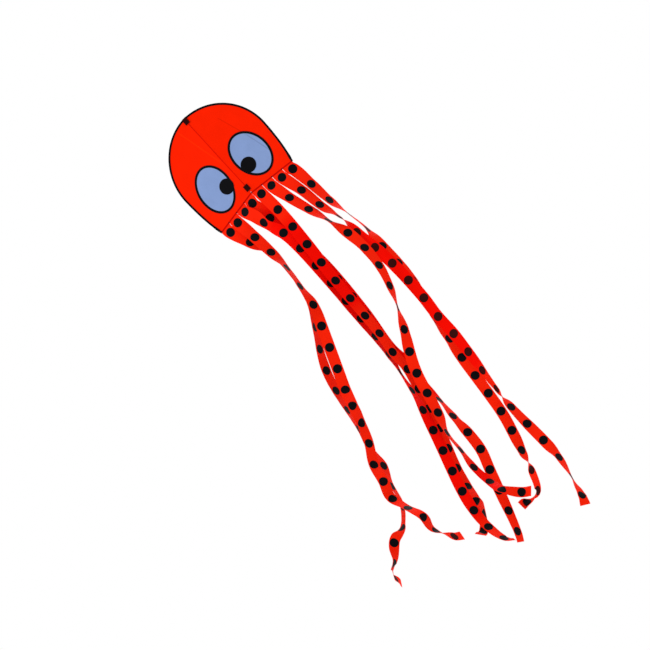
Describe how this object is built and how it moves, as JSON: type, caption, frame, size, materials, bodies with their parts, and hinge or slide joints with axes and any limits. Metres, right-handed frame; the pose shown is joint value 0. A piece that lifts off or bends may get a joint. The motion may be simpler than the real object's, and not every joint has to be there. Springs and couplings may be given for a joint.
{
  "type": "octopus kite",
  "caption": "Soft-tailed kite with a domed sail on a bowed edge rod and a spine, cartoon eyes sewn on the front, and long dotted ribbon tails from the base edge.",
  "frame": {"origin": "on the spine at the height of the sail's widest line, in the plane of the sail, where the bridle is towed", "axes": "+Z along the spine from its foot to the nose, -Y out of the face with the eyes, +X to the right as the face is looked at"},
  "size_m": [1.6095, 0.3535, 4.0643],
  "materials": {
    "ripstop": "thin woven ripstop, slight sheen, translucent against the light",
    "tail_ribbon": "thin woven ribbon with black printed dots",
    "hem_binding": "folded hem, doubled cloth, stitched",
    "black_binding": "black woven cloth and stitching, matt",
    "webbing": "dark reinforcing cloth, dense weave",
    "eye_cloth": "pale blue woven cloth, sewn on",
    "fibreglass": "black pultruded rod, satin",
    "vinyl": "soft black vinyl"
  },
  "bodies": {
    "spine": {"spine_sleeve": "ripstop", "nose_pocket": "webbing", "nose_connector": "vinyl", "foot_patch": "webbing", "bar_tack_centre": "black_binding"},
    "left_wing": {"sail_panel_left": "ripstop", "base_hem_left": "hem_binding", "edge_sleeve_left": "black_binding", "bow_rod_left": "fibreglass", "tip_cap_left": "vinyl", "eye_rim_left": "black_binding", "eye_white_left": "eye_cloth", "pupil_left": "black_binding", "bar_tack_left_1": "black_binding", "bar_tack_left_2": "black_binding", "bar_tack_left_3": "black_binding"},
    "right_wing": {"sail_panel_right": "ripstop", "base_hem_right": "hem_binding", "edge_sleeve_right": "black_binding", "bow_rod_right": "fibreglass", "tip_cap_right": "vinyl", "eye_rim_right": "black_binding", "eye_white_right": "eye_cloth", "pupil_right": "black_binding", "bar_tack_right_1": "black_binding", "bar_tack_right_2": "black_binding", "bar_tack_right_3": "black_binding"},
    "spine_rod": {"spine_rod": "fibreglass", "spine_end_cap": "vinyl"},
    "tail_1": {"tail_1": "tail_ribbon"},
    "tail_2": {"tail_2": "tail_ribbon"},
    "tail_3": {"tail_3": "tail_ribbon"},
    "tail_4": {"tail_4": "tail_ribbon"},
    "tail_5": {"tail_5": "tail_ribbon"},
    "tail_6": {"tail_6": "tail_ribbon"},
    "tail_7": {"tail_7": "tail_ribbon"},
    "tail_8": {"tail_8": "tail_ribbon"}
  },
  "joints": [
    {"name": "left_wing_fold", "type": "hinge", "parent": "spine", "child": "left_wing", "pos_m": [0, 0.0063, 0], "axis": [0, 0, -1], "range_deg": [-5, 80], "stiffness_Nm_per_rad": 0.5, "deforming": ["nose_connector", "nose_pocket"]},
    {"name": "right_wing_fold", "type": "hinge", "parent": "spine", "child": "right_wing", "pos_m": [0, 0.0063, 0], "axis": [0, 0, 1], "range_deg": [-5, 80], "stiffness_Nm_per_rad": 0.5, "deforming": ["nose_connector"]},
    {"name": "tail_1_swing", "type": "hinge", "parent": "left_wing", "child": "tail_1", "pos_m": [-0.31861, 0.03236, -0.34681], "axis": [0.9891, -0.1005, 0.1081], "range_deg": [-35, 80], "deforming": ["tail_1"]},
    {"name": "tail_2_swing", "type": "hinge", "parent": "left_wing", "child": "tail_2", "pos_m": [-0.22758, 0.02312, -0.33686], "axis": [0.9891, -0.1005, 0.1081], "range_deg": [-35, 80], "deforming": ["tail_2"]},
    {"name": "tail_3_swing", "type": "hinge", "parent": "left_wing", "child": "tail_3", "pos_m": [-0.13655, 0.01387, -0.32692], "axis": [0.9891, -0.1005, 0.1081], "range_deg": [-35, 80], "deforming": ["tail_3"]},
    {"name": "tail_4_swing", "type": "hinge", "parent": "left_wing", "child": "tail_4", "pos_m": [-0.04552, 0.00462, -0.31697], "axis": [0.9891, -0.1005, 0.1081], "range_deg": [-35, 80], "deforming": ["tail_4"]},
    {"name": "tail_5_swing", "type": "hinge", "parent": "right_wing", "child": "tail_5", "pos_m": [0.04552, 0.00462, -0.31697], "axis": [0.9891, 0.1005, -0.1081], "range_deg": [-35, 80], "deforming": ["tail_5"]},
    {"name": "tail_6_swing", "type": "hinge", "parent": "right_wing", "child": "tail_6", "pos_m": [0.13655, 0.01387, -0.32692], "axis": [0.9891, 0.1005, -0.1081], "range_deg": [-35, 80], "deforming": ["tail_6"]},
    {"name": "tail_7_swing", "type": "hinge", "parent": "right_wing", "child": "tail_7", "pos_m": [0.22758, 0.02312, -0.33686], "axis": [0.9891, 0.1005, -0.1081], "range_deg": [-35, 80], "deforming": ["tail_7"]},
    {"name": "tail_8_swing", "type": "hinge", "parent": "right_wing", "child": "tail_8", "pos_m": [0.31861, 0.03236, -0.34681], "axis": [0.9891, 0.1005, -0.1081], "range_deg": [-35, 80], "deforming": ["tail_8"]},
    {"name": "spine_rod_slide", "type": "slide", "parent": "spine", "child": "spine_rod", "axis": [0, 0, -1], "range_m": [0, 0.7]}
  ]
}
